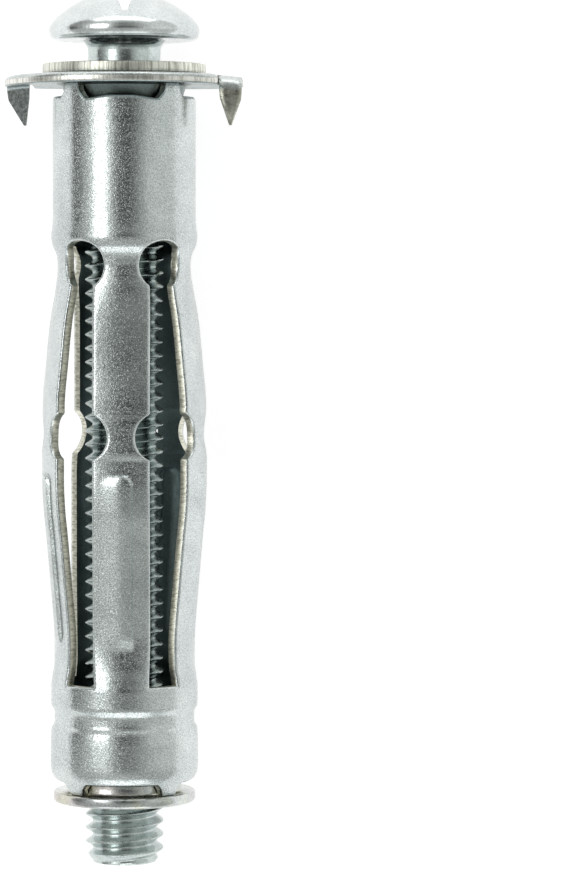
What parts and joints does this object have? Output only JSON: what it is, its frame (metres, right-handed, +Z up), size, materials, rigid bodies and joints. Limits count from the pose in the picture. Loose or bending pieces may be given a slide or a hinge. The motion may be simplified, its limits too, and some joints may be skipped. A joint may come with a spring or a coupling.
{
  "type": "hollow wall anchor",
  "caption": "Slotted metal sleeve anchor with a claw plate, a flanged nut and a pan-head machine screw that draws the sleeve's legs out behind a hollow wall.",
  "frame": {"origin": "on the anchor's axis, in the plane of the claw plate's underside, the face that seats on the wall", "axes": "+Y along the axis towards the screw head, +X along the claw plate's long width, +Z up as the anchor lies on a surface"},
  "size_m": [0.012, 0.0444, 0.0102],
  "materials": {
    "screw_steel": "bright zinc plate",
    "washer_steel": "bright zinc plate, sheared edge",
    "plate_steel": "bright zinc plate, sheared edge",
    "sleeve_steel": "bright zinc plate with a fine sparkling grain",
    "nut_steel": "zinc plate with a faint yellow and violet passivation"
  },
  "bodies": {
    "anchor": {"sleeve": "sleeve_steel", "claw_plate": "plate_steel", "flange_nut": "nut_steel"},
    "washer": {"washer": "washer_steel"},
    "screw": {"screw": "screw_steel"}
  },
  "joints": [
    {"name": "washer_turn", "type": "hinge", "parent": "anchor", "child": "washer", "pos_m": [0, 0.0007, 0], "axis": [0, 1, 0], "range_deg": [-607, 3241]},
    {"name": "screw_travel", "type": "slide", "parent": "washer", "child": "screw", "axis": [0, 1, 0], "range_m": [-0.00118, 0.0063]}
  ],
  "couplings": [
    {"joint": "washer_turn", "follows": "screw_travel", "rad_per_m": 8976}
  ]
}
